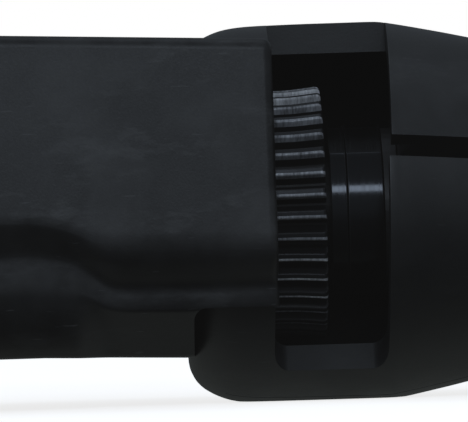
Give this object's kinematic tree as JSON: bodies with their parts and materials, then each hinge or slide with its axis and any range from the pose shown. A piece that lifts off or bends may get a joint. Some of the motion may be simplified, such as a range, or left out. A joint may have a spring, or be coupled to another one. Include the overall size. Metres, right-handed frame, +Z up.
{
  "type": "geared drive head",
  "caption": "Black coaxial geared drive head with a toothed wheel on stepped collars behind a wrap-around window in a round housing, joined to a smooth split motor cover.",
  "frame": {"origin": "centre of the bounding box, on the level of the foot pad and belly", "axes": "+X along the spindle towards the nose, +Z up, the window opens towards -Y"},
  "size_m": [0.128, 0.0606, 0.0563],
  "materials": {
    "black_shell": "fine grain, satin",
    "black_oxide": "black oxide with bright tooth edges",
    "black_polished": "gloss black, turned",
    "steel": "machined",
    "bronze": "machined",
    "lamination": "stacked sheet edges",
    "motor_aluminium": "die cast",
    "circuit_board": "solder mask",
    "chip_plastic": "moulded",
    "pad_rubber": "matte"
  },
  "bodies": {
    "body": {"gear_housing": "black_shell", "clamp_screw": "steel", "clamp_nut": "steel", "thrust_washer": "chip_plastic", "front_bushing": "bronze", "ring_gear": "steel", "motor_plate": "motor_aluminium", "motor_front_bell": "motor_aluminium", "stator_stack": "lamination", "motor_rear_bell": "motor_aluminium", "motor_screw_1": "steel", "motor_screw_2": "steel", "motor_screw_3": "steel", "motor_screw_4": "steel", "cover_near": "black_shell", "cover_far": "black_shell", "cover_screw_1": "steel", "cover_screw_2": "steel", "cover_screw_3": "steel", "cover_screw_4": "steel", "rear_cap": "black_shell", "cap_screw_1": "steel", "cap_screw_2": "steel", "foot_pad": "pad_rubber", "control_board": "circuit_board", "driver_chip": "chip_plastic", "board_connector": "chip_plastic", "power_socket": "chip_plastic"},
    "spindle_group": {"drive_wheel": "black_oxide", "collar_inner": "black_polished", "collar_outer": "black_polished", "spindle": "black_oxide", "wheel_key": "steel", "screw_coupling": "black_oxide", "coupling_pin": "steel", "planet_carrier": "steel", "planet_pin_1": "steel", "planet_pin_2": "steel", "planet_pin_3": "steel"},
    "rotor_group": {"motor_shaft": "steel", "rotor_core": "lamination", "sun_pinion": "steel"},
    "planet_1": {"planet_gear_1": "bronze"},
    "planet_2": {"planet_gear_2": "bronze"},
    "planet_3": {"planet_gear_3": "bronze"}
  },
  "joints": [
    {"name": "spindle_spin", "type": "hinge", "parent": "body", "child": "spindle_group", "pos_m": [0.016, 0, 0.0279], "axis": [1, 0, 0], "continuous": true},
    {"name": "rotor_spin", "type": "hinge", "parent": "body", "child": "rotor_group", "pos_m": [-0.02, 0, 0.0279], "axis": [1, 0, 0], "continuous": true},
    {"name": "planet_1_spin", "type": "hinge", "parent": "spindle_group", "child": "planet_1", "pos_m": [0.0003, 0.0105, 0.0279], "axis": [1, 0, 0], "continuous": true},
    {"name": "planet_2_spin", "type": "hinge", "parent": "spindle_group", "child": "planet_2", "pos_m": [0.0003, -0.00525, 0.03699], "axis": [1, 0, 0], "continuous": true},
    {"name": "planet_3_spin", "type": "hinge", "parent": "spindle_group", "child": "planet_3", "pos_m": [0.0003, -0.00525, 0.01881], "axis": [1, 0, 0], "continuous": true}
  ],
  "couplings": [
    {"joint": "rotor_spin", "follows": "spindle_spin", "ratio": 5},
    {"joint": "planet_1_spin", "follows": "spindle_spin", "ratio": -2.6667},
    {"joint": "planet_2_spin", "follows": "spindle_spin", "ratio": -2.6667},
    {"joint": "planet_3_spin", "follows": "spindle_spin", "ratio": -2.6667}
  ]
}
